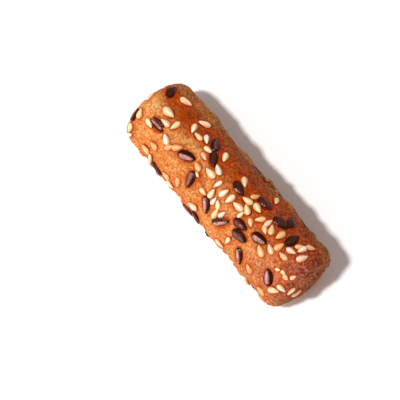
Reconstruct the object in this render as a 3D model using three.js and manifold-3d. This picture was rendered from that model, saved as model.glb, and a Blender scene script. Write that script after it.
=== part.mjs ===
// A short seeded bread roll: one baked stick of dough with linseeds and sesame seeds bedded in its crust.
// Millimetres. +X runs along the roll, +Z is up, and the origin is under the middle of the roll, on the
// flat that it was baked and rests on. Every seed is a solid of its own in a shallow socket in the crust.

import * as THREE from 'three';
import { mergeVertices } from 'three/addons/utils/BufferGeometryUtils.js';
import Module from 'manifold-3d';

const wasm = await Module();
wasm.setup();

// The baked dough.
const rollLength = 65;
const rollWidth = 20.5;
const halfHeight = 9.2; // of the oval section
const centreHeight = 8.4; // of the section's middle over the flat: less than halfHeight, so the foot is cut flat
const rimRadius = 3.4; // where the side turns into the end
const rimTurn = THREE.MathUtils.degToRad(71); // how far it turns before the domed end takes over
const endSlant = 0.25; // how far the -X end stands out at +Y, and falls back at -Y
const stationsAlong = 21;
const stationsInRim = 4;
const stationsInEnd = 3;
const stepsAround = 40;

// The seeds. Widths and thicknesses are shares of a seed's own length.
const linseedShape = { width: 0.54, thickness: 0.25, taper: 0.34 };
const sesameShape = { width: 0.61, thickness: 0.3, taper: 0.42 };
const seedRings = 4;
const seedSides = 8;
const beddedShare = 0.36; // of a seed's thickness, under the crust
const socketGap = 0.12;

// Where the seeds lie: [mm along the crust from the middle, degrees round it from the top, heading of the
// tip in degrees from +X, lean in degrees about the seed's own length, length in mm].
const linseedPlaces = [
  [-27.9, 23, 112, 0, 4.5],
  [-29.9, -44.6, 100, -12, 3.9],
  [-23.2, -27, 186, 50, 5.0],
  [-11.6, -22, 26, 14, 5.0],
  [-9.5, 22, 135, 4, 4.2],
  [-6.6, 5, -40, -8, 4.6],
  [-6.5, -40, -69, 10, 4.8],
  [3.6, 5.5, -13, -6, 4.5],
  [10.5, 21.5, 0, 5, 4.6],
  [1.0, -47.5, -45, 14, 4.6],
  [-2.5, -92, 0, -12, 4.6],
  [0.6, -88, -48, 8, 4.2],
  [-15.9, -80, -5, 6, 4.4],
  [7.0, -46.5, 53, 32, 5.1],
  [17.1, 20.6, 14, 8, 4.6],
  [18.3, 36.6, 120, -5, 4.2],
  [22.5, 16, 89, 6, 4.6],
  [11.0, -26, 7, 8, 4.4],
  [13.0, -38, 7, 6, 4.8],
  [17.0, -18.2, 15, 10, 4.6],
  [16.4, -60.5, -48, 5, 4.6],
  [25.7, -44.8, 136, 12, 4.4],
];

const sesamePlaces = [
  [-23.6, -1.5, 6, 4, 3.8],
  [-23.6, 31, 18, 6, 3.6],
  [-28.7, -35, 118, 8, 2.8],
  [-19.7, -6.4, -95, 0, 3.0],
  [-18.6, -29, 153, 6, 3.0],
  [-18.9, -76, -70, 10, 2.9],
  [-16.3, 12, -60, 0, 2.9],
  [-15.9, 31, -143, 8, 3.5],
  [-13.8, 9.6, 185, 4, 2.8],
  [-12.0, 16.4, -38, -5, 2.7],
  [-3.5, 0, 158, 0, 3.1],
  [-4.1, -11.5, 180, 5, 3.5],
  [-5.3, 20.4, -57, 6, 3.0],
  [-0.6, -13.5, -99, 4, 2.6],
  [2.15, -15.0, 81, 0, 2.9],
  [4.4, -13.5, -93, 5, 3.1],
  [7.2, -11.9, -172, 4, 3.3],
  [9.2, -5, 153, -4, 2.9],
  [7.5, 4.0, -162, 6, 3.1],
  [10.5, 8.2, -10, 5, 3.0],
  [3.0, 18, -35, 6, 3.0],
  [0.1, -29, 100, 0, 2.8],
  [-1.6, -70, 192, 8, 3.2],
  [11.4, 42, -60, 4, 2.5],
  [13.3, 0.5, -121, 5, 2.9],
  [15.3, 5.8, 92, 10, 2.6],
  [19.7, 7.8, -92, 0, 3.0],
  [19.6, -28, 158, 6, 3.2],
  [20.9, -15.6, 158, 4, 2.9],
  [21.8, -4, 81, 0, 2.9],
  [24.4, -8.2, 185, 5, 2.8],
  [24.5, 4.6, 20, 4, 2.7],
  [27.6, 10.5, 74, 0, 3.3],
  [26.5, 33, 50, 6, 2.6],
  [28.9, -53, 33, 5, 3.0],
  [10.0, -80, 0, 8, 2.9],
  [26.4, -75, 175, 6, 2.8],
];

const rollMaterial = new THREE.MeshStandardMaterial({ color: '#c7762f', roughness: 0.5, metalness: 0 });
const linseedMaterial = new THREE.MeshStandardMaterial({ color: '#3b1c1c', roughness: 0.3, metalness: 0 });
const sesameMaterial = new THREE.MeshStandardMaterial({ color: '#f1dcb4', roughness: 0.45, metalness: 0 });

const halfLength = rollLength / 2;
const halfWidth = rollWidth / 2;

const endRadius = halfWidth - rimRadius * (1 - Math.cos(rimTurn)); // where the rim meets the domed end
const endDome = endRadius / (2 * Math.tan(rimTurn)); // so that the dome leaves the rim without a crease
const sideEnd = halfLength - endDome - rimRadius * Math.sin(rimTurn);
const rimEnd = sideEnd + rimRadius * rimTurn;
const crustEnd = rimEnd + endRadius;

// How far the dough swells out or sinks in at a place on the crust, as a share of the section's size.
function swell(station, around) {
  const slow = 0.009 * Math.sin(0.31 * station + 0.8 * Math.cos(around) + 0.6);
  const twisted = 0.007 * Math.sin(0.57 * station + 2 * around);
  const ribbed = 0.005 * Math.cos(3 * around + 0.23 * station);
  return 1 + slow + twisted + ribbed;
}

// The crust's lengthwise outline, from a distance along it from the middle: straight side, round rim,
// domed end. Gives the station on the roll's axis and the share of the full section there.
function outline(along) {
  const distance = Math.abs(along);
  let station = distance;
  let share = 1;
  if (distance > rimEnd) {
    const inward = (crustEnd - distance) / endRadius;
    station = halfLength - endDome * inward * inward;
    share = (endRadius / halfWidth) * inward;
  } else if (distance > sideEnd) {
    const turn = (distance - sideEnd) / rimRadius;
    station = sideEnd + rimRadius * Math.sin(turn);
    share = 1 - (rimRadius / halfWidth) * (1 - Math.cos(turn));
  }
  return { station: Math.sign(along) * station, share };
}

// A point of the crust from its distance along and its angle round the roll, 0 at the top and 90 at +Y.
function crustPoint(along, around) {
  const { station, share } = outline(along);
  const size = share * swell(station, around);
  const slant = endSlant * THREE.MathUtils.smoothstep(-station, sideEnd / 2, sideEnd) * size * Math.sin(around);
  return new THREE.Vector3(
    station - slant,
    size * halfWidth * Math.sin(around),
    centreHeight + size * halfHeight * Math.cos(around),
  );
}

// The crust's own directions at a place: lengthwise, round the roll, and straight out.
function crustDirections(along, around) {
  const step = 0.05;
  const lengthwise = crustPoint(along + step, around).sub(crustPoint(along - step, around)).normalize();
  const turn = step / halfWidth;
  const sideways = crustPoint(along, around + turn).sub(crustPoint(along, around - turn)).normalize();
  const outward = new THREE.Vector3().crossVectors(lengthwise, sideways).normalize();
  return { lengthwise, sideways, outward };
}

// Turns a closed geometry into a solid: shared vertices merged, and the slivers at the poles left out.
function solidFrom(geometry) {
  geometry.deleteAttribute('normal');
  geometry.deleteAttribute('uv');
  const merged = mergeVertices(geometry, 1e-4);
  const corners = merged.index.array;
  const triangles = [];
  for (let i = 0; i < corners.length; i += 3) {
    const [a, b, c] = [corners[i], corners[i + 1], corners[i + 2]];
    if (a !== b && b !== c && c !== a) {
      triangles.push(a, b, c);
    }
  }
  return new wasm.Manifold(new wasm.Mesh({
    numProp: 3,
    vertProperties: merged.attributes.position.array,
    triVerts: new Uint32Array(triangles),
  }));
}

function geometryFrom(solid) {
  const { vertProperties, triVerts } = solid.getMesh();
  const geometry = new THREE.BufferGeometry();
  geometry.setAttribute('position', new THREE.BufferAttribute(vertProperties, 3));
  geometry.setIndex(new THREE.BufferAttribute(triVerts, 1));
  geometry.computeVertexNormals();
  return geometry;
}

// The distances along the crust at which the roll's mesh has a ring, from one pole to the other.
function ringDistances() {
  const half = [];
  for (let i = 0; i <= (stationsAlong - 1) / 2; i += 1) {
    half.push((2 * i * sideEnd) / (stationsAlong - 1));
  }
  for (let i = 1; i <= stationsInRim; i += 1) {
    half.push(sideEnd + ((rimEnd - sideEnd) * i) / stationsInRim);
  }
  for (let i = 1; i <= stationsInEnd; i += 1) {
    half.push(rimEnd + ((crustEnd - rimEnd) * i) / stationsInEnd);
  }
  const other = half.slice(1).reverse().map((distance) => -distance);
  return [...other, ...half];
}

// The dough: rings turned about the axis, each corner then put where the crust is, and cut flat below.
function bakedRoll() {
  const distances = ringDistances();
  const atPole = (distance) => Math.abs(distance) === crustEnd;
  const profile = distances.map((distance) => new THREE.Vector2(atPole(distance) ? 0 : 1, distance));
  const geometry = new THREE.LatheGeometry(profile, stepsAround);
  const position = geometry.attributes.position;
  for (let i = 0; i < position.count; i += 1) {
    const around = Math.atan2(-position.getX(i), position.getZ(i));
    const distance = distances[i % distances.length];
    const corner = crustPoint(distance, around);
    position.setXYZ(i, corner.x, corner.y, corner.z);
  }
  const belowFloor = new THREE.BoxGeometry(2 * rollLength, 2 * rollWidth, rollWidth);
  belowFloor.translate(0, 0, -rollWidth / 2);
  return solidFrom(geometry).subtract(solidFrom(belowFloor));
}

// A flat teardrop of unit length, tip towards +X: at a turn t from blunt end to tip it lies at
// -cos(t) / 2 and is sin(t) (1 + taper cos(t)) wide. A margin grows it all round, for its socket.
function seedGeometry(shape, length, margin) {
  const profile = [];
  for (let ring = 0; ring <= seedRings; ring += 1) {
    const turn = (Math.PI * ring) / seedRings;
    const width = ring % seedRings === 0 ? 0 : Math.sin(turn) * (1 + shape.taper * Math.cos(turn));
    profile.push(new THREE.Vector2(width / 2, -Math.cos(turn) / 2));
  }
  const geometry = new THREE.LatheGeometry(profile, seedSides);
  geometry.rotateZ(-Math.PI / 2);
  geometry.scale(
    length + 2 * margin,
    shape.width * length + 2 * margin,
    shape.thickness * length + 2 * margin,
  );
  return geometry;
}

// Puts a seed on the crust: its length along its heading, its flat side down, leant, part bedded.
function seedPlace(shape, [along, aroundDegrees, headingDegrees, leanDegrees, length]) {
  const around = THREE.MathUtils.degToRad(aroundDegrees);
  const heading = THREE.MathUtils.degToRad(headingDegrees);
  const { lengthwise, sideways, outward } = crustDirections(along, around);
  const tip = lengthwise.clone().multiplyScalar(Math.cos(heading));
  tip.addScaledVector(sideways, Math.sin(heading)).addScaledVector(
    outward,
    -tip.dot(outward),
  ).normalize();
  const across = new THREE.Vector3().crossVectors(outward, tip);
  const rise = (0.5 - beddedShare) * shape.thickness * length;
  const place = new THREE.Matrix4().makeBasis(tip, across, outward);
  place.multiply(new THREE.Matrix4().makeRotationX(THREE.MathUtils.degToRad(leanDegrees)));
  place.setPosition(crustPoint(along, around).addScaledVector(outward, rise));
  return place;
}

const breadRoll = new THREE.Group();
let dough = bakedRoll();

// Beds one kind of seed: cuts each socket from the dough and adds each seed as a named mesh.
function bedSeeds(kind, shape, places, material) {
  places.forEach((place, index) => {
    const length = place[4];
    const matrix = seedPlace(shape, place);
    const socket = seedGeometry(shape, length, socketGap).applyMatrix4(matrix);
    dough = dough.subtract(solidFrom(socket));
    const seed = new THREE.Mesh(geometryFrom(solidFrom(seedGeometry(shape, length, 0))), material);
    seed.name = `${kind}_${String(index + 1).padStart(2, '0')}`;
    seed.applyMatrix4(matrix);
    breadRoll.add(seed);
  });
}

bedSeeds('linseed', linseedShape, linseedPlaces, linseedMaterial);
bedSeeds('sesame_seed', sesameShape, sesamePlaces, sesameMaterial);

const roll = new THREE.Mesh(geometryFrom(dough), rollMaterial);
roll.name = 'baked_roll';
breadRoll.add(roll);

export default breadRoll;
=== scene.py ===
"""A short seeded bread roll: its baked crust, linseeds and sesame seeds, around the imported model."""

import math

import bpy
import numpy as np
from mathutils import Matrix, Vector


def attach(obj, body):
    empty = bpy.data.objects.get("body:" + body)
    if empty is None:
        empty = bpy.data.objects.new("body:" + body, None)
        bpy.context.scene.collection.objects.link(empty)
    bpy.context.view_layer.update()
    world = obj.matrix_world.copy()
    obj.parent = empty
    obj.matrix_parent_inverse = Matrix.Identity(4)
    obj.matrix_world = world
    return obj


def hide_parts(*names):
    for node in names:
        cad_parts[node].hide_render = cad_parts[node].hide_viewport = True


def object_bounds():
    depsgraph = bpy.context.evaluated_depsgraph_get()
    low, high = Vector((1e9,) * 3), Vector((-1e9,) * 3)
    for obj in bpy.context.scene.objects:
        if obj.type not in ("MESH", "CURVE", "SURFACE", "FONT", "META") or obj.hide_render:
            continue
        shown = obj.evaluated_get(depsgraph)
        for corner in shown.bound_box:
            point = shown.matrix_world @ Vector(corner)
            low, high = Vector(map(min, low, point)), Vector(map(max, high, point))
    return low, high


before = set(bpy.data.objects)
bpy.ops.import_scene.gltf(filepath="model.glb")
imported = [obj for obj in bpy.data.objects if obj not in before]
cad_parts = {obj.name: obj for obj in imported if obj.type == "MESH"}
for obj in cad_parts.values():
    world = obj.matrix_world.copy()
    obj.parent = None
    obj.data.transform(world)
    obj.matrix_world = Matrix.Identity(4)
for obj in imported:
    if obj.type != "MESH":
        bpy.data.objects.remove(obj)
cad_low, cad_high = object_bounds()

MM = 0.001  # the shapes below are worked out in millimetres, and meshes are made in metres

# The roll, in mm: its length is the imported model's, and so are its section and ends. The side is
# straight, a rim turns in from it at each end, and a low dome of END_RADIUS closes the rim.
HALF_LENGTH = (cad_high.x - cad_low.x) / MM / 2
HALF_WIDTH = 10.25
HALF_HEIGHT = 9.2
CENTRE_HEIGHT = 8.4
RIM_RADIUS = 3.4
RIM_TURN = math.radians(71)
END_SLANT = 0.25  # how far one side of the -X end stands out, and the other back
END_RADIUS = HALF_WIDTH - RIM_RADIUS * (1 - math.cos(RIM_TURN))
END_DOME = END_RADIUS / (2 * math.tan(RIM_TURN))
SIDE_END = HALF_LENGTH - END_DOME - RIM_RADIUS * math.sin(RIM_TURN)
# How far along the crust from the middle the rim ends, and the end's own middle lies.
RIM_END = SIDE_END + RIM_RADIUS * RIM_TURN
CRUST_END = RIM_END + END_RADIUS

CRUST_RINGS = 380
CRUST_SIDES = 250

# Seeds: breadth and thickness are shares of a seed's length, and the taper draws its tip in. A low ridge
# power gives a roof-shaped section and a high one a flat top, and the point power sharpens the tip.
SEED_SHAPES = {
    "linseed": {
        "breadth": 0.54, "thickness": 0.25, "taper": 0.30, "ridge": 1.5, "point": 0.5,
        "rings": 15, "sides": 24,
    },
    "sesame": {
        "breadth": 0.59, "thickness": 0.35, "taper": 0.36, "ridge": 2.1, "point": 0.1,
        "rings": 11, "sides": 16,
    },
}
FULLNESS = 0.8  # the power of the sine that a seed's thickness follows: a low one is full to its ends
BEDDED = 0.36  # the share of a seed's thickness that lies under the crust
DENT = 0.05  # each seed's own shallow dents, as a share of its section
DENT_TURN = 7  # how far the dents' waves turn from a seed's blunt end to its tip, in radians
BOW = 0.025  # how far a seed's outline bows to one side, as a share of its breadth
BREADTHS = (0.93, 1.05)  # a seed's own breadth by chance, as a share of its kind's
SHEEN_ALONG = (0.32, 0.43)  # where the painted sheen fades out towards a seed's ends, as a share of its length
SHEEN_ACROSS = (0.3, 0.56)  # and where it fades out across it, as a share of its half breadth
SEED_NODES = {"linseed": "linseed_", "sesame": "sesame_seed_"}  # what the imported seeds' names start with

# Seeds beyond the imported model's own, which holds the clearest ones: mm along the crust from the middle,
# degrees round it from the top, heading of the tip in degrees from +X, lean in degrees, length in mm, and
# how far glaze covers it.
EXTRA_SEEDS = {"linseed": [
    (-23.3, -21, 186, -45, 4.2, 0.0),
], "sesame": [
    (-30.7, -6, 96, 0, 3.0, 0.1),
    (-28.5, -66, -81, 0, 3.0, 0.2),
    (-27.9, -80, 60, 10, 2.8, 0.1),
    (-22.0, -14.5, 187, 0, 3.1, 0.5),
    (-25.0, -33, -10, 0, 2.8, 0.0),
    (-14.9, -24, 50, 0, 3.0, 0.8),
    (-16.5, -33, 60, 0, 2.6, 0.8),
    (-19.9, -51, 180, 0, 2.8, 0.8),
    (-21.4, -70, 173, 0, 3.0, 0.6),
    (-7.6, -19.5, 167, 0, 2.8, 0.7),
    (-6.2, -28, 0, 0, 1.8, 0.4),
    (-9.3, 7.4, 10, 0, 2.8, 0.1),
    (-8.6, -3, -13, 0, 2.5, 0.7),
    (-1.9, -37, 0, 0, 2.4, 0.3),
    (1.9, -33.5, 95, 0, 2.3, 0.1),
    (3.4, -32, 140, 0, 2.5, 0.1),
    (7.7, 17, 62, 0, 2.6, 0.7),
    (-6.0, -88, -90, 0, 2.4, 0.2),
    (-8.7, -62, -60, 0, 2.8, 0.8),
    (-10.4, -82, -7, 0, 2.8, 0.1),
    (-12.4, -73, 170, 0, 2.6, 0.7),
    (4.5, -44, 100, 0, 3.0, 0.3),
    (5.9, -37, 80, 0, 2.3, 0.0),
    (12.4, -13, -30, 0, 2.4, 0.5),
    (9.2, -16.5, 90, 0, 2.3, 0.1),
    (17.2, 3.0, 129, 0, 2.8, 0.4),
    (16.1, -4, -30, 0, 2.6, 0.5),
    (24.9, 18.7, 60, 0, 2.6, 0.3),
    (25.8, 19, -95, 0, 2.9, 0.1),
    (30.0, -42, -8, 0, 2.8, 0.2),
    (33.1, -42, -96, 0, 2.8, 0.1),
    (36.0, -54, 51, 0, 3.0, 0.6),
    (30.0, -17, 75, 0, 1.7, 0.4),
    (28.8, -25, 0, 0, 1.7, 0.4),
    (26.0, -26, 30, 0, 1.3, 0.1),
    (27.5, -23, 0, 0, 1.5, 0.4),
    (11.5, -59, -90, 0, 2.3, 0.2),
    (15.3, -90, 54, 0, 3.0, 0.2),
    (20.5, -61.5, 153, 0, 2.7, 0.8),
]}
# The painted sheen of a packed linseed, a pale pink painted highlight on one face: its strength, and how
# far it lies to the seed's -Y side.
LINSEED_PAINTED_SHEEN = {
    "linseed_02": (0.6, 0.0),
    "linseed_03": (1.0, 0.2),
    "linseed_04": (0.9, 0.6),
    "linseed_05": (0.25, 0.0),
    "linseed_07": (0.45, 0.2),
    "linseed_10": (1.0, -0.1),
    "linseed_11": (0.5, 0.0),
    "linseed_12": (0.8, -0.4),
    "linseed_14": (1.0, -0.1),
    "linseed_18": (0.15, 0.3),
    "linseed_19": (0.2, 0.6),
    "linseed_20": (0.9, 0.6),
    "linseed_21": (1.0, 0.0),
    "linseed_22": (0.9, 0.4),
}
# A faint painted sheen for the seeds that aren't listed
FAINT_SHEEN = (0.05, 0.0)
# Packed seeds that glaze has run over, and how far. It covers the others by chance up to THIN_GLAZE, and
# those between the places of BROWNED_SPAN, in mm along the roll, are browned by up to BROWNING as well.
GLAZED_SEEDS = {"sesame_seed_37": 0.8}
THIN_GLAZE = 0.3
BROWNING = 0.35
BROWNED_SPAN = (6, 20)
# A seed's breadth is a share of its kind's. A linseed standing on its edge is bedded deep, so less of its
# width shows, and a broken bit of sesame is broad for its length.
NARROW_LINSEEDS = {"linseed_03": 0.66}
EXTRA_BREADTH = {"linseed": 0.6, "sesame": 1.0}
BIT_LENGTH = 2.0  # a seed shorter than this, in mm, is a broken bit
BIT_BREADTH = 1.3
# The seeds strewn on the sides that face away: how many, mm between them at least, and their mean length.
HIDDEN_SEEDS = {"linseed": (6, 5.5, 4.6), "sesame": (26, 3.4, 2.9)}
HIDDEN_SIZES = (0.92, 1.08)  # a seed's length as a share of that mean
HIDDEN_SIDES = [(-128, -99), (88, 120)]  # those sides, in degrees round the roll from the top
HIDDEN_SHARES = [0.6, 0.4]  # and the share of the seeds that lies on each
HIDDEN_LEAN = 8  # degrees
HIDDEN_GLAZE = 0.8  # the most that glaze covers one
HIDDEN_SHEEN = 0.8  # the strongest painted sheen on one


# ---------------------------------------------------------------------------------------------------------
# The crust's shape


def swell(station, around):
    """How far the dough swells out or sinks in, as a share of the section: three slow sine waves."""
    slow = 0.009 * np.sin(0.31 * station + 0.8 * np.cos(around) + 0.6)
    twisted = 0.007 * np.sin(0.57 * station + 2 * around)
    ribbed = 0.005 * np.cos(3 * around + 0.23 * station)
    return 1 + slow + twisted + ribbed


def outline(along):
    """Station on the axis and share of the section at a distance along the crust from the middle.

    The side is straight, the rim is an arc, and each end stands out as a parabola.
    """
    distance = np.abs(along)
    turn = np.clip((distance - SIDE_END) / RIM_RADIUS, 0, RIM_TURN)
    inward = np.clip((CRUST_END - distance) / END_RADIUS, 0, 1)
    on_end = distance > RIM_END
    on_rim = np.minimum(distance, SIDE_END) + RIM_RADIUS * np.sin(turn)
    station = np.where(on_end, HALF_LENGTH - END_DOME * inward**2, on_rim)
    rim_share = 1 - RIM_RADIUS / HALF_WIDTH * (1 - np.cos(turn))
    share = np.where(on_end, END_RADIUS / HALF_WIDTH * inward, rim_share)
    return np.sign(along) * station, share


def ease(value, start, end):
    """0 below start and 1 above end, with a smooth rise between them."""
    share = np.clip((value - start) / (end - start), 0, 1)
    return share * share * (3 - 2 * share)


def bell(value, middle, spread):
    """1 at the middle, falling off on both sides as a bell curve."""
    return np.exp(-((value - middle) / spread) ** 2)


def crust_point(along, around):
    """The crust in mm: an oval section of the outline's share, swollen, and slanted at the -X end."""
    station, share = outline(along)
    size = share * swell(station, around)
    slant = END_SLANT * ease(-station, SIDE_END / 2, SIDE_END) * size * np.sin(around)
    return np.stack([
        station - slant,
        size * HALF_WIDTH * np.sin(around),
        CENTRE_HEIGHT + size * HALF_HEIGHT * np.cos(around),
    ], axis=-1)


def unit(vectors):
    return vectors / np.maximum(np.linalg.norm(vectors, axis=-1, keepdims=True), 1e-12)


def crust_directions(along, around):
    """Unit directions at a place on the crust: lengthwise, round the roll, and straight out."""
    step = 0.02
    lengthwise = unit(crust_point(along + step, around) - crust_point(along - step, around))
    turn = step / HALF_WIDTH
    sideways = unit(crust_point(along, around + turn) - crust_point(along, around - turn))
    outward = unit(np.cross(lengthwise, sideways))
    return lengthwise, sideways, outward


def waves(points, wavelength, seed, count=26):
    """Smooth noise of about unit size: plane sine waves in random directions with random phases."""
    chance = np.random.default_rng(seed)
    directions = unit(chance.normal(size=(count, 3)))
    lengths = wavelength * chance.uniform(0.75, 1.35, count)
    phases = chance.uniform(0, 2 * np.pi, count)
    total = np.zeros(points.shape[:-1])
    for direction, length, phase in zip(directions, lengths, phases):
        total += np.sin(points @ direction * (2 * np.pi / length) + phase)
    return total * math.sqrt(2 / count)


# ---------------------------------------------------------------------------------------------------------
# The seeds' places


def seed_from_node(name, kind):
    """A packed seed's place and size: its middle, and its corners' principal directions."""
    corners = np.array([corner.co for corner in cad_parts[name].data.vertices]) / MM
    corners = np.unique(np.round(corners, 4), axis=0)
    centre = corners.mean(axis=0)
    spread = corners - centre
    _, _, directions = np.linalg.svd(spread, full_matrices=False)
    tip, across, up = directions
    across_spread = np.abs(spread @ across)
    if np.sum(across_spread * (spread @ tip)) > 0:  # the broad half is the blunt one
        tip = -tip
    axis_point = np.array([np.clip(centre[0], -SIDE_END, SIDE_END), 0, CENTRE_HEIGHT])
    if up @ (centre - axis_point) < 0:
        up = -up
    across = np.cross(up, tip)
    length = np.ptp(spread @ tip)
    return {"kind": kind, "centre": centre, "tip": tip, "across": across, "up": up, "length": length}


def seed_from_place(kind, along, around, heading, lean, length):
    """A further seed: its length along its heading on the crust, leant about it, and part bedded."""
    around, heading, lean = np.radians([around, heading, lean])
    lengthwise, sideways, outward = crust_directions(along, around)
    tip = lengthwise * math.cos(heading) + sideways * math.sin(heading)
    tip = unit(tip - (tip @ outward) * outward)
    level = np.cross(outward, tip)
    across = level * math.cos(lean) + outward * math.sin(lean)
    up = np.cross(tip, across)
    shape = SEED_SHAPES[kind]
    rise = (0.5 - BEDDED) * shape["thickness"] * length
    centre = crust_point(along, around) + outward * rise
    return {"kind": kind, "centre": centre, "tip": tip, "across": across, "up": up, "length": length}


def hidden_places(count, clear, taken, chance):
    """Random places on the sides that face away, each clear of the places taken, which they then join."""
    places = []
    while len(places) < count:
        along = chance.uniform(-SIDE_END, SIDE_END)
        on_each_side = [chance.uniform(*side) for side in HIDDEN_SIDES]
        around = chance.choice(on_each_side, p=HIDDEN_SHARES)
        point = crust_point(along, math.radians(around))
        if all(np.linalg.norm(point - other) > clear for other in taken):
            taken.append(point)
            heading = chance.uniform(0, 360)
            places.append((along, around, heading, chance.uniform(-HIDDEN_LEAN, HIDDEN_LEAN)))
    return places


def all_seeds():
    """Every seed on the roll, with its own looks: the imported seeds, the extra ones, and the hidden ones."""
    chance = np.random.default_rng(41)
    seeds = []
    for name in sorted(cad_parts):
        for kind, start in SEED_NODES.items():
            if name.startswith(start):
                seed = seed_from_node(name, kind)
                browning = BROWNING * ease(seed["centre"][0], *BROWNED_SPAN)
                seed["glaze"] = GLAZED_SEEDS.get(name, browning + chance.uniform(0.0, THIN_GLAZE))
                seed["painted_sheen"] = LINSEED_PAINTED_SHEEN.get(name, FAINT_SHEEN)
                seed["breadth"] = NARROW_LINSEEDS.get(name, 1.0)
                seeds.append(seed)
    for kind, places in EXTRA_SEEDS.items():
        for along, around, heading, lean, length, glaze in places:
            seed = seed_from_place(kind, along, around, heading, lean, length)
            seed["glaze"] = glaze
            seed["painted_sheen"] = FAINT_SHEEN
            seed["breadth"] = BIT_BREADTH if length < BIT_LENGTH else EXTRA_BREADTH[kind]
            seeds.append(seed)
    taken = [seed["centre"] for seed in seeds]
    for kind, (count, clear, length) in HIDDEN_SEEDS.items():
        for along, around, heading, lean in hidden_places(count, clear, taken, chance):
            size = length * chance.uniform(*HIDDEN_SIZES)
            seed = seed_from_place(kind, along, around, heading, lean, size)
            seed["glaze"] = chance.uniform(0.0, HIDDEN_GLAZE)
            seed["painted_sheen"] = (chance.uniform(0.0, HIDDEN_SHEEN), 0.0)
            seed["breadth"] = 1.0
            seeds.append(seed)
    for seed in seeds:
        seed["shade"] = chance.uniform(0.0, 1.0)
    return seeds


# ---------------------------------------------------------------------------------------------------------
# Meshes


def make_piece(name, corners_mm, faces, marks, material):
    """A mesh in metres with smooth faces, one point attribute for each mark, and a material."""
    mesh = bpy.data.meshes.new(name)
    mesh.from_pydata((corners_mm * MM).tolist(), [], faces)
    mesh.update()
    mesh.polygons.foreach_set("use_smooth", np.ones(len(mesh.polygons), bool))
    for mark, values in marks.items():
        attribute = mesh.attributes.new(mark, "FLOAT", "POINT")
        attribute.data.foreach_set("value", np.asarray(values, np.float32).ravel())
    mesh.materials.append(material)
    piece = bpy.data.objects.new(name, mesh)
    bpy.context.scene.collection.objects.link(piece)
    return piece


def tube_faces(rings, sides, start=0):
    """Faces of a closed form: rings of corners with a pole before the first and after the last."""
    ring = np.arange(rings - 1)[:, None] * sides + start
    side = np.arange(sides)[None, :]
    after = (side + 1) % sides
    quads = np.stack([ring + side, ring + after, ring + sides + after, ring + sides + side], axis=-1)
    first_pole = start + rings * sides
    side = np.arange(sides)
    after = (side + 1) % sides
    last_ring = start + (rings - 1) * sides
    first_fan = np.stack([np.full(sides, first_pole), start + after, start + side], axis=-1)
    last_fan = np.stack([np.full(sides, first_pole + 1), last_ring + side, last_ring + after], axis=-1)
    return quads.reshape(-1, 4).tolist() + first_fan.tolist() + last_fan.tolist()


# The dough round a seed, in mm: how deep it sinks under the seed, and then the height, the distance out and
# the spread of the low collar round it, and the same of the shallow dip beyond.
BED_DEPTH = 0.22
COLLAR_HEIGHT, COLLAR_OUT, COLLAR_SPREAD = 0.10, 0.35, 0.3
DIP_DEPTH, DIP_OUT, DIP_SPREAD = 0.06, 1.2, 0.6
SINKS_OVER = (-0.35, 0.0)  # the gaps between which the dough comes up to its full height
# The dark seam is browned glaze in the crease round a seed, with painted shade there as well.
SEAM_FADES = (0.05, 0.4)  # and between which the dark seam round a seed fades out
HALO_SPREAD = 0.9  # how far glaze gathers round a seed
BED_SPREAD = 3  # how far beyond a seed's tip its bed is worked out
LEAST_SHARE = 0.2  # keeps the gap finite at a seed's middle


def bed_relief(points, seeds):
    """How the dough lies round the seeds, and two marks of how near each point is to a seed's edge.

    The gap is the distance in mm outside an ellipsoid with the seed's outline, three times as thick. The
    dough sinks under the seed, rises as a low collar a little way out, and dips again beyond that.
    """
    relief = np.zeros(len(points))
    seam = np.zeros(len(points))
    halo = np.zeros(len(points))
    for seed in seeds:
        shape = SEED_SHAPES[seed["kind"]]
        reach = seed["length"] / 2 + BED_SPREAD
        near = np.flatnonzero(np.sum((points - seed["centre"]) ** 2, axis=1) < reach**2)
        offset = points[near] - seed["centre"]
        local = offset @ np.stack([seed["tip"], seed["across"], seed["up"]]).T
        breadth = shape["breadth"] * seed["breadth"]
        reaches = seed["length"] / 2 * np.array([1, breadth, 3 * shape["thickness"]])
        share = np.linalg.norm(local / reaches, axis=1)
        gap = np.linalg.norm(local, axis=1) * (1 - 1 / np.maximum(share, LEAST_SHARE))
        collar = bell(gap, COLLAR_OUT, COLLAR_SPREAD)
        dip = bell(gap, DIP_OUT, DIP_SPREAD)
        under = 1 - ease(gap, *SINKS_OVER)
        relief[near] += COLLAR_HEIGHT * collar - DIP_DEPTH * dip - BED_DEPTH * under
        # seam: browned glaze at the seed's edge, with painted shade in the crease
        seam[near] = np.maximum(seam[near], 1 - ease(gap, *SEAM_FADES))
        halo[near] = np.maximum(halo[near], bell(np.maximum(gap, 0), 0, HALO_SPREAD))
    return relief, seam, halo


# Blisters: mm along, degrees round, radius and height in mm.
BLISTERS = [
    (35.2, 45, 0.9, 0.30),
    (26.8, -17, 0.9, 0.25),
    (31.5, -30, 0.7, 0.18),
    (33.0, 12, 0.8, 0.20),
    (30.5, 28, 0.9, 0.15),
    (37.0, -20, 0.8, 0.20),
    (34.5, 80, 0.8, 0.20),
    (-34.5, 70, 0.9, 0.20),
]
RING_SPREAD = 0.25  # the browned ring at a blister's foot, in mm


def blister_relief(points):
    """Small domes on the crust, each the power 1.5 of a parabola, and a mark of the ring at their feet."""
    relief = np.zeros(len(points))
    ring = np.zeros(len(points))
    for along, around, radius, height in BLISTERS:
        middle = crust_point(along, math.radians(around))
        gap = np.linalg.norm(points - middle, axis=1)
        relief += height * np.clip(1 - (gap / radius) ** 2, 0, 1) ** 1.5
        ring = np.maximum(ring, bell(gap, radius, RING_SPREAD))
    return relief, ring


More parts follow.
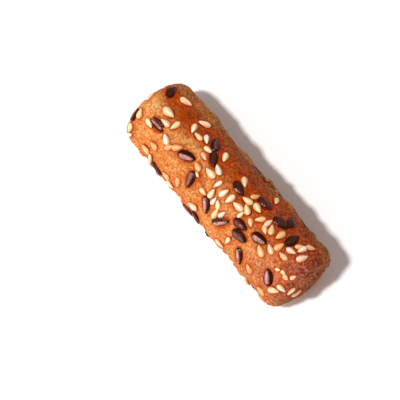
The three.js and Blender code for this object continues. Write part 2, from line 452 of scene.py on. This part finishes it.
def patch(along, around, places):
    """A soft-edged mark: the strongest of some oval patches.

    Each is its strength times e to minus the power 1.5 of q, the sum of the squares of the distances along
    and round from its middle, as shares of its reaches.
    """
    mark = np.zeros_like(along)
    for place_along, place_around, reach_along, reach_around, strength in places:
        q = ((along - place_along) / reach_along) ** 2 + ((around - place_around) / reach_around) ** 2
        mark = np.maximum(mark, strength * np.exp(-(q**1.5)))
    return mark


# Where the glaze lies thick and dark, where the crust is browned, scorched or rosy, and where it stays pale.
# Each place is mm along, degrees round, reach along in mm, reach round in degrees, and strength.
CRUST_PATCHES = {
    "glaze": [
        (-26, 20, 5, 16, 0.9),
        (-19, 18, 7, 22, 1.0),
        (-12, 24, 6, 22, 1.0),
        (-5, 20, 6, 26, 1.0),
        (2, 22, 6, 24, 1.0),
        (8, 16, 7, 26, 1.0),
        (15, 14, 7, 24, 0.9),
        (21, 12, 6, 24, 0.8),
        (27, 5, 5, 22, 0.7),
        (-14, -30, 3, 8, 0.6),
        (-6, -28, 3, 8, 0.7),
        (-2, 44, 12, 16, 0.7),
        (18, 44, 10, 16, 0.8),
        (-27, 112, 9, 28, 0.7),
        (-9, 128, 8, 24, 0.5),
        (-13, 96, 6, 14, 0.6),
        (8, 112, 9, 30, 0.8),
        (22, 126, 9, 28, 0.6),
        (29, 98, 6, 14, 0.5),
        (-36, 60, 5, 60, 0.6),
        (-37, -110, 5, 40, 0.4),
    ],
    "browned": [
        (14, 30, 6, 18, 0.8),
        (21, 30, 7, 20, 0.9),
        (28, 30, 6, 22, 1.0),
        (31, 10, 5, 40, 0.9),
        (30, -20, 4, 22, 0.5),
        (-5, 10, 4, 10, 0.4),
        (-2.5, 33, 1.6, 6, 0.9),
        (-12, 30, 8, 12, 0.4),
        (5, 32, 8, 14, 0.5),
        (-19, -88, 3, 10, 0.5),
        (25, -65, 9, 50, 0.25),
        (31, -65, 4, 60, 0.25),
        (28, 2, 4, 12, 0.8),
        (31, 30, 3, 30, 1.0),
        (40, 0, 8, 500, 0.85),
        (0.5, 27, 8, 10, 0.4),
        (9, 44, 6, 12, 0.4),
        (16, 31, 4, 9, 1.0),
        (-41, 0, 5, 500, 0.5),
        (-18, 108, 5, 12, 0.4),
        (6, 138, 7, 14, 0.4),
    ],
    "char": [
        (1.5, 61, 3, 5, 1.0),
        (5, 60, 3, 5, 1.0),
        (8.5, 63, 3.5, 6, 1.0),
        (19, 65, 3.5, 6, 1.0),
        (22, 68, 3, 6, 1.0),
        (-11, 56, 3, 8, 0.5),
        (28, 72, 4, 8, 0.6),
    ],
    "rosy": [
        (25, -42, 7, 24, 0.8),
        (31, -10, 7, 28, 1.0),
        (33, -55, 7, 36, 0.9),
        (32, 28, 4, 16, 0.6),
    ],
    "pale": [
        (-29, -15, 5, 30, 0.8),
        (-25, -20, 6, 16, 0.8),
        (-21, -42, 6, 16, 0.4),
        (-18, -20, 4, 14, 0.7),
        (-14, -38, 4, 10, 0.5),
        (-10, -5, 4, 10, 0.9),
        (-4, -20, 6, 12, 0.8),
        (4, -22, 6, 14, 0.9),
        (18, -36, 4, 12, 0.6),
        (0, 70, 34, 12, 0.3),
    ],
}
# The marks' strengths at the very middle of the -X end and of the +X end, where they aren't 0.
# shaded carries the painted shade of the side turned from the light on to the ends' middles
MARKS_ON_POLES = {"browned": [0, 0.6], "shaded": [0.4, 0.4]}

# The crust's relief: height in mm, wavelength in mm, and the random seed of each layer of waves.
LUMPS = [(0.13, 8.0, 3), (0.06, 3.0, 4)]
SHOULDER_LUMPS = [(0.16, 4.2, 8)]
PEBBLES = [(0.030, 1.3, 5), (0.018, 0.8, 6)]
GLAZE_FILLS = 0.5  # the share of the pebbling that thick glaze fills
END_ROUGHER = 0.8  # how much more pebbling the +X end has, as a share
SHOULDER_STARTS, SHOULDER_FADES = (44, 58), (72, 90)  # degrees round, where its lumps lie
ROUGH_END = (22, 30)  # mm along, where the +X end grows rougher
FLAT_EDGE = 0.25  # how softly the side turns into the baked flat, mm
FLAT_FADES = (0.05, 0.4)  # mm above the table, where the pits fade out
LOW_FADES = (0.3, 1.8)  # and where the pale foot of the side does
PIT_DEPTH, PIT_WAVELENGTH, PIT_SEED = 0.14, 1.8, 9  # the pits in the baked flat, mm

# The side with more seeds is ruddy, most of all round them, and so is the +X end. The other side, turned
# from the light, gets painted shade from its shoulder down, fading lower down. Degrees round, mm along,
# and strengths.
RUDDY_SIDE_FADES = (-35, 0)
RUDDY_BARE = 0.5
RUDDY_END_STARTS = (29, 34)
RUDDY_END = 0.45
SHADED_STARTS, SHADED_FADES = (36, 56), (80, 105)
SHADED_LOSS = 0.85


def wave_relief(points, layers):
    """The sum of some layers of waves, each with its own height."""
    return sum(height * waves(points, wavelength, seed) for height, wavelength, seed in layers)


def make_crust(seeds, material):
    """The dough's skin: rings of crust points, moved straight out by waves, seed beds and blisters.

    The skin is then laid flat below: its height z becomes half the sum of z and the root of z squared plus
    FLAT_EDGE squared, and shallow pits rise into the flat.
    """
    distance = np.linspace(-CRUST_END, CRUST_END, CRUST_RINGS + 2)[1:-1]
    turn = np.linspace(-np.pi, np.pi, CRUST_SIDES, endpoint=False)
    along, around = np.meshgrid(distance, turn, indexing="ij")
    along, around = along.ravel(), around.ravel()
    degrees = np.degrees(around)
    points = crust_point(along, around)
    _, _, outward = crust_directions(along, around)
    bed, seam, halo = bed_relief(points, seeds)
    domes, ring = blister_relief(points)

    marks = {name: patch(along, degrees, places) for name, places in CRUST_PATCHES.items()}
    marks.update(halo=halo, seam=seam, ring=ring)
    ruddy_side = (1 - ease(degrees, *RUDDY_SIDE_FADES)) * (RUDDY_BARE + (1 - RUDDY_BARE) * halo)
    marks["ruddy"] = np.maximum(ruddy_side, RUDDY_END * ease(along, *RUDDY_END_STARTS))
    # shaded: painted shade on the side turned from the light, from its shoulder down
    marks["shaded"] = ease(degrees, *SHADED_STARTS) * (1 - SHADED_LOSS * ease(degrees, *SHADED_FADES))
    marks = {name: np.append(mark, MARKS_ON_POLES.get(name, [0, 0])) for name, mark in marks.items()}

    on_shoulder = ease(degrees, *SHOULDER_STARTS) * (1 - ease(degrees, *SHOULDER_FADES))
    lumps = wave_relief(points, LUMPS) + wave_relief(points, SHOULDER_LUMPS) * on_shoulder
    roughness = 1 - GLAZE_FILLS * marks["glaze"][:-2] + END_ROUGHER * ease(along, *ROUGH_END)
    relief = lumps + wave_relief(points, PEBBLES) * roughness + bed + domes
    poles = crust_point(np.array([-CRUST_END, CRUST_END]), np.zeros(2))
    points = np.concatenate([points + outward * relief[:, None], poles])
    points[:, 2] = (points[:, 2] + np.sqrt(points[:, 2] ** 2 + FLAT_EDGE**2)) / 2
    marks["low"] = 1 - ease(points[:, 2], *LOW_FADES)
    on_flat = 1 - ease(points[:, 2], *FLAT_FADES)
    points[:, 2] += PIT_DEPTH * on_flat * np.clip(waves(points, PIT_WAVELENGTH, PIT_SEED), 0, 1)
    return make_piece("baked_crust", points, tube_faces(CRUST_RINGS, CRUST_SIDES), marks, material)


def make_seeds(name, kind, seeds, material):
    """All seeds of one kind as one mesh of flat teardrops.

    At a turn t from blunt end to tip and an angle a round it, a seed of unit size is at -cos(t)/2 along,
    half of sin(t)(1 + taper cos(t))cos(a) across, and half of its thickness there times one less |cos(a)|
    to the ridge power up or down. The sine's power rises towards a pointed tip. A product of two sine
    waves dents each seed, and a parabola bows it to one side. The rim mark is |cos(a)|, and the painted
    sheen mark, a painted highlight, is strong on the one face that it is painted on.
    """
    shape = SEED_SHAPES[kind]
    rings, sides = shape["rings"], shape["sides"]
    turn = np.pi * (np.arange(rings) + 1) / (rings + 1)
    turn, angle = np.meshgrid(turn, 2 * np.pi * np.arange(sides) / sides, indexing="ij")
    point = 1 + shape["point"] * (1 - np.cos(turn)) / 2
    broad = np.sin(turn) ** point * (1 + shape["taper"] * np.cos(turn))
    thick = np.sin(turn) ** FULLNESS * (1 + 0.5 * shape["taper"] * np.cos(turn))
    roof = np.sign(np.sin(angle)) * (1 - np.abs(np.cos(angle)) ** shape["ridge"])
    along = np.append(-np.cos(turn) / 2, [-0.5, 0.5])
    across = np.append(broad * np.cos(angle) / 2, [0, 0])
    up = np.append(thick * roof / 2, [0, 0])
    angle = np.append(angle, [0, 0])
    on_middle = 1 - ease(np.abs(along), *SHEEN_ALONG)

    chance = np.random.default_rng(7)
    corners, faces, marks = [], [], {"glaze": [], "shade": [], "rim": [], "painted_sheen": []}
    own = [seed for seed in seeds if seed["kind"] == kind]
    for index, seed in enumerate(own):
        breadth = shape["breadth"] * seed["breadth"] * chance.uniform(*BREADTHS)
        size = seed["length"] * np.array([1, breadth, shape["thickness"]])
        waist, twist, side = chance.uniform(0, 2 * np.pi, 3)
        dent = 1 + DENT * np.sin(DENT_TURN * along + waist) * np.sin(2 * angle + twist)
        bow = BOW * np.sin(side) * (4 * along**2 - 0.3)
        local = np.stack([along, across * dent + bow, up * dent], axis=-1) * size
        axes = np.stack([seed["tip"], seed["across"], seed["up"]])
        corners.append(local @ axes + seed["centre"])
        faces += tube_faces(rings, sides, index * len(along))
        # painted sheen: a pale painted highlight on the seed's face, lying towards its -Y side
        strength, to_side = seed["painted_sheen"]
        middle = -0.5 * to_side * np.sign(seed["across"][1])
        on_face = 1 - ease(np.abs(np.cos(angle) - middle), *SHEEN_ACROSS)
        marks["glaze"].append(np.full(len(along), seed["glaze"]))
        marks["shade"].append(np.full(len(along), seed["shade"]))
        marks["rim"].append(np.abs(np.cos(angle)))
        marks["painted_sheen"].append(strength * on_middle * on_face)
    marks = {mark: np.concatenate(values) for mark, values in marks.items()}
    return make_piece(name, np.concatenate(corners), faces, marks, material)


# ---------------------------------------------------------------------------------------------------------
# Finishes


def paint(hex_colour):
    """An sRGB hex colour as linear red, green, blue and alpha."""
    channels = [int(hex_colour[i:i + 2], 16) / 255 for i in (1, 3, 5)]
    return [c / 12.92 if c <= 0.04045 else ((c + 0.055) / 1.055) ** 2.4 for c in channels] + [1.0]


def add_node(material, kind, sockets, **settings):
    """Adds one shader node: its settings, then each socket's value or the link that feeds it."""
    made = material.node_tree.nodes.new(kind)
    for name, value in settings.items():
        setattr(made, name, value)
    for name, value in sockets.items():
        if isinstance(value, bpy.types.NodeSocket):
            material.node_tree.links.new(value, made.inputs[name])
        else:
            made.inputs[name].default_value = value
    return made


def new_material(name):
    material = bpy.data.materials.new(name)
    material.use_nodes = True
    material.node_tree.nodes.clear()
    return material


# A colour Mix node's sockets, which share their names with its other kinds.
MIX_A, MIX_B, MIX_OUT = 6, 7, 2

# Noise over the crust: grain size in mm, detail, and the stretch of the noise that is spread over 0 to 1.
# Crumb grain and pores are about 0.2 mm across, too fine to show, so the grain, flecks and specks are drawn
# two or three times as coarse.
CRUST_NOISES = {
    "grain": (0.62, 3.0, 0.37, 0.63),
    "blotch": (3.0, 4.0, 0.36, 0.64),
    "mottle": (1.8, 3.0, 0.40, 0.60),
    "blush": (1.6, 2.0, 0.50, 0.66),
    "fleck": (0.45, 2.0, 0.56, 0.66),
    "speck": (0.40, 1.0, 0.60, 0.70),
    "soot": (1.1, 3.0, 0.475, 0.51),
}
# The crust's colours in the order that they lie on each other. Each has the marks and noises that spread
# it, its strength where they are full, and its colour in the grain's hollows and on the grain's tops.
CRUST_COLOURS = [
    ((), 1.0, "#AA5C24", "#DA9E5C"),
    (("blotch",), 0.5, "#B0500F", "#C46A20"),
    # painted shade on the side turned from the light
    (("shaded",), 0.95, "#84400A", "#C27428"),
    (("mottle",), 0.35, "#A85820", "#C47834"),
    (("pale",), 0.75, "#C47C34", "#ECBA76"),
    (("ruddy", "blush"), 0.7, "#C8440C", "#D4540F"),
    (("fleck",), 0.45, "#F0C490", "#F0C490"),
    (("glaze",), 1.0, "#6E1E02", "#9C3606"),
    (("glaze", "blotch"), 0.85, "#9E4208", "#CC600E"),
    (("glaze", "mottle"), 0.35, "#7C2803", "#A03C06"),
    (("browned",), 0.9, "#661F10", "#BE5C32"),
    (("browned", "blotch"), 0.45, "#4E1C0E", "#7E3418"),
    (("browned", "speck"), 0.7, "#34140C", "#34140C"),
    (("rosy",), 0.45, "#883C30", "#D8866A"),
    (("rosy", "mottle"), 0.4, "#6A2A2C", "#B06A5C"),
    (("halo",), 0.5, "#B4400A", "#C8500E"),
    # browned glaze and painted shade in the crease round each seed
    (("seam",), 0.5, "#802C04", "#802C04"),
    (("ring",), 0.6, "#5A1E0C", "#5A1E0C"),
    (("low",), 0.8, "#B4783C", "#D8A26A"),
    (("low", "blotch"), 0.45, "#7C4218", "#A8662E"),
    (("char", "soot"), 1.0, "#1C0C04", "#1C0C04"),
]


def egg_glazed_crust():
    """Baked wheat crust under egg glaze: golden and grainy where matt, deep amber where glazed."""
    material = new_material("egg_glazed_crust")
    place = add_node(material, "ShaderNodeTexCoord", {}).outputs["Object"]
    spread = {}
    for name, (size, detail, low, high) in CRUST_NOISES.items():
        noise = add_node(
            material, "ShaderNodeTexNoise", {"Vector": place, "Scale": 1 / (size * MM), "Detail": detail}
        )
        made = add_node(
            material, "ShaderNodeMapRange",
            {"Value": noise.outputs["Fac"], "From Min": low, "From Max": high},
        )
        spread[name] = made.outputs["Result"]
    colour = paint(CRUST_COLOURS[0][-1])  # the first layer covers this everywhere
    for names, share, hollow, top in CRUST_COLOURS:
        for name in names:
            if name not in spread:
                made = add_node(material, "ShaderNodeAttribute", {}, attribute_name=name)
                spread[name] = made.outputs["Fac"]
            made = add_node(
                material, "ShaderNodeMath", {0: share, 1: spread[name]}, operation="MULTIPLY"
            )
            share = made.outputs["Value"]
        layer = paint(top)
        if hollow != top:
            made = add_node(
                material, "ShaderNodeMix",
                {0: spread["grain"], MIX_A: paint(hollow), MIX_B: layer}, data_type="RGBA",
            )
            layer = made.outputs[MIX_OUT]
        made = add_node(
            material, "ShaderNodeMix", {0: share, MIX_A: colour, MIX_B: layer}, data_type="RGBA"
        )
        colour = made.outputs[MIX_OUT]
    rough = add_node(
        material, "ShaderNodeMapRange", {"Value": spread["glaze"], "To Min": 0.6, "To Max": 0.4}
    )
    fine = add_node(
        material, "ShaderNodeBump", {"Height": spread["grain"], "Strength": 1.0, "Distance": 0.12 * MM}
    )
    shader = add_node(material, "ShaderNodeBsdfPrincipled", {
        "Base Color": colour, "Roughness": rough.outputs["Result"], "IOR": 1.45,
        "Specular IOR Level": 0.05, "Normal": fine.outputs["Normal"],
    })
    add_node(material, "ShaderNodeOutputMaterial", {"Surface": shader.outputs["BSDF"]})
    return material


def hulled_sesame():
    """Hulled sesame: smooth waxy cream, peach at the edge, and amber where glaze has run over it."""
    material = new_material("hulled_sesame")
    shade = add_node(material, "ShaderNodeAttribute", {}, attribute_name="shade")
    rim = add_node(material, "ShaderNodeAttribute", {}, attribute_name="rim")
    glaze = add_node(material, "ShaderNodeAttribute", {}, attribute_name="glaze")
    cream = add_node(
        material, "ShaderNodeMix",
        {0: shade.outputs["Fac"], MIX_A: paint("#FFF9EC"), MIX_B: paint("#F8DEA8")}, data_type="RGBA",
    )
    # Peach at the sloping edge all round: glaze caught there, and painted shade as the edge turns away.
    edge = add_node(
        material, "ShaderNodeMath", {0: rim.outputs["Fac"], 1: 1.5}, operation="POWER"
    )
    glazed_and_shaded_edge = add_node(
        material, "ShaderNodeMix",
        {0: edge.outputs["Value"], MIX_A: cream.outputs[MIX_OUT], MIX_B: paint("#D4762C")},
        data_type="RGBA",
    )
    glazed = add_node(
        material, "ShaderNodeMix",
        {0: glaze.outputs["Fac"], MIX_A: glazed_and_shaded_edge.outputs[MIX_OUT], MIX_B: paint("#DC8630")},
        data_type="RGBA",
    )
    shader = add_node(material, "ShaderNodeBsdfPrincipled", {
        "Base Color": glazed.outputs[MIX_OUT], "Roughness": 0.32, "IOR": 1.47,
    })
    add_node(material, "ShaderNodeOutputMaterial", {"Surface": shader.outputs["BSDF"]})
    return material


def polished_linseed():
    """Linseed's hard seed coat: plum brown to near black, with a natural polish that catches light.

    Its fine wrinkles are drawn 0.7 mm across, coarser than they are, so that they show. The same noise
    breaks up a pale pink painted sheen, a painted highlight that the painted sheen mark mixes into the coat.
    """
    material = new_material("polished_linseed")
    place = add_node(material, "ShaderNodeTexCoord", {}).outputs["Object"]
    shade = add_node(material, "ShaderNodeAttribute", {}, attribute_name="shade")
    painted_sheen = add_node(material, "ShaderNodeAttribute", {}, attribute_name="painted_sheen")
    wrinkle_noise = add_node(
        material, "ShaderNodeTexNoise", {"Vector": place, "Scale": 1 / (0.7 * MM), "Detail": 2.0}
    )
    sheen_breakup = add_node(
        material, "ShaderNodeMapRange",
        {"Value": wrinkle_noise.outputs["Fac"], "From Min": 0.38, "From Max": 0.54, "To Min": 0.45},
    )
    sheen_share = add_node(
        material, "ShaderNodeMath",
        {0: painted_sheen.outputs["Fac"], 1: sheen_breakup.outputs["Result"]}, operation="MULTIPLY",
    )
    coat = add_node(
        material, "ShaderNodeMix",
        {0: shade.outputs["Fac"], MIX_A: paint("#420E04"), MIX_B: paint("#2A0C04")}, data_type="RGBA",
    )
    # painted sheen: a pale pink painted highlight mixed into the coat
    sheened_coat = add_node(
        material, "ShaderNodeMix",
        {0: sheen_share.outputs["Value"], MIX_A: coat.outputs[MIX_OUT], MIX_B: paint("#C8908A")},
        data_type="RGBA",
    )
    wrinkled = add_node(
        material, "ShaderNodeBump",
        {"Height": wrinkle_noise.outputs["Fac"], "Strength": 1.0, "Distance": 0.12 * MM},
    )
    shader = add_node(material, "ShaderNodeBsdfPrincipled", {
        "Base Color": sheened_coat.outputs[MIX_OUT], "Roughness": 0.2, "IOR": 1.5,
        "Normal": wrinkled.outputs["Normal"], "Specular IOR Level": 0.22, "Specular Tint": paint("#FFC8B4"),
    })
    add_node(material, "ShaderNodeOutputMaterial", {"Surface": shader.outputs["BSDF"]})
    return material


def white_table():
    """The matt white surface that the roll lies on."""
    material = new_material("matt_white_table")
    shader = add_node(material, "ShaderNodeBsdfPrincipled", {
        "Base Color": paint("#F6F8FA"), "Roughness": 0.9, "IOR": 1.3,
    })
    add_node(material, "ShaderNodeOutputMaterial", {"Surface": shader.outputs["BSDF"]})
    return material


# ---------------------------------------------------------------------------------------------------------
# The camera, the light and the table

CAMERA_AZIMUTH = math.radians(52)
CAMERA_ELEVATION = math.radians(70)
CAMERA_DISTANCE = 450  # mm
CAMERA_LENS = 158
ROLL_ASIDE = 6.8  # how far the roll's middle lies to the right of the picture's middle, mm
ROLL_RAISED = 1.8  # and above it
TABLE_HALF = 1.5  # m
ROOM_COLOUR = (1, 0.85, 0.79, 1)  # the warm light that the room gives back
ROOM_STRENGTH = 0.39
# Each light: kind, azimuth and elevation in degrees, distance in mm, and its settings.
LIGHTS = {
    "sunlight": ("SUN", -13, 59, 600, {"energy": 2.8, "angle": math.radians(6)}),
    "softbox": ("AREA", -16, 22, 500, {"energy": 1.0, "size": 0.35}),
}


def sky_axes(azimuth, elevation):
    """Right, up and back directions of a thing that looks at the roll from a place in the sky.

    Azimuth 0 is -Y, and it turns towards +X.
    """
    level = math.cos(elevation)
    back = np.array([math.sin(azimuth) * level, -math.cos(azimuth) * level, math.sin(elevation)])
    right = unit(np.cross([0, 0, 1], back))
    return right, np.cross(back, right), back


def place(name, data, axes, position):
    """Puts a camera or light in the scene at a position in mm, with its own axes along the given ones."""
    thing = bpy.data.objects.new(name, data)
    bpy.context.scene.collection.objects.link(thing)
    turned = np.eye(4)
    turned[:3, :3] = np.stack(axes, axis=1)
    turned[:3, 3] = position * MM
    thing.matrix_world = Matrix(turned.tolist())
    return thing


def make_camera():
    lens = bpy.data.cameras.new("camera")
    lens.lens = CAMERA_LENS
    lens.clip_start = 0.01
    right, up, back = sky_axes(CAMERA_AZIMUTH, CAMERA_ELEVATION)
    target = np.array([0, 0, CENTRE_HEIGHT]) - ROLL_ASIDE * right - ROLL_RAISED * up
    camera = place("camera", lens, (right, up, back), target + CAMERA_DISTANCE * back)
    bpy.context.scene.camera = camera


def make_light(name, kind, azimuth, elevation, distance, settings):
    light = bpy.data.lights.new(name, kind)
    for setting, value in settings.items():
        setattr(light, setting, value)
    axes = sky_axes(math.radians(azimuth), math.radians(elevation))
    place(name, light, axes, axes[-1] * distance)


def make_table():
    mesh = bpy.data.meshes.new("table")
    corners = [(x * TABLE_HALF, y * TABLE_HALF, 0) for x, y in ((-1, -1), (1, -1), (1, 1), (-1, 1))]
    mesh.from_pydata(corners, [], [(0, 1, 2, 3)])
    mesh.materials.append(white_table())
    table = bpy.data.objects.new("table", mesh)
    bpy.context.scene.collection.objects.link(table)


def make_room():
    world = bpy.data.worlds.new("room")
    world.use_nodes = True
    world.node_tree.nodes["Background"].inputs["Color"].default_value = ROOM_COLOUR
    world.node_tree.nodes["Background"].inputs["Strength"].default_value = ROOM_STRENGTH
    bpy.context.scene.world = world
    bpy.context.scene.view_settings.view_transform = "Standard"


make_camera()
make_room()
make_table()
for name, light in LIGHTS.items():
    make_light(name, *light)

seeds = all_seeds()
crust = make_crust(seeds, egg_glazed_crust())
linseeds = make_seeds("linseeds", "linseed", seeds, polished_linseed())
sesame_seeds = make_seeds("sesame_seeds", "sesame", seeds, hulled_sesame())

for piece, slot, start in (
    (crust, "crust", "baked_roll"),
    (linseeds, "linseed", SEED_NODES["linseed"]),
    (sesame_seeds, "sesame", SEED_NODES["sesame"]),
):
    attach(piece, "root")
    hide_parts(*[name for name in sorted(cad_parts) if name.startswith(start)])
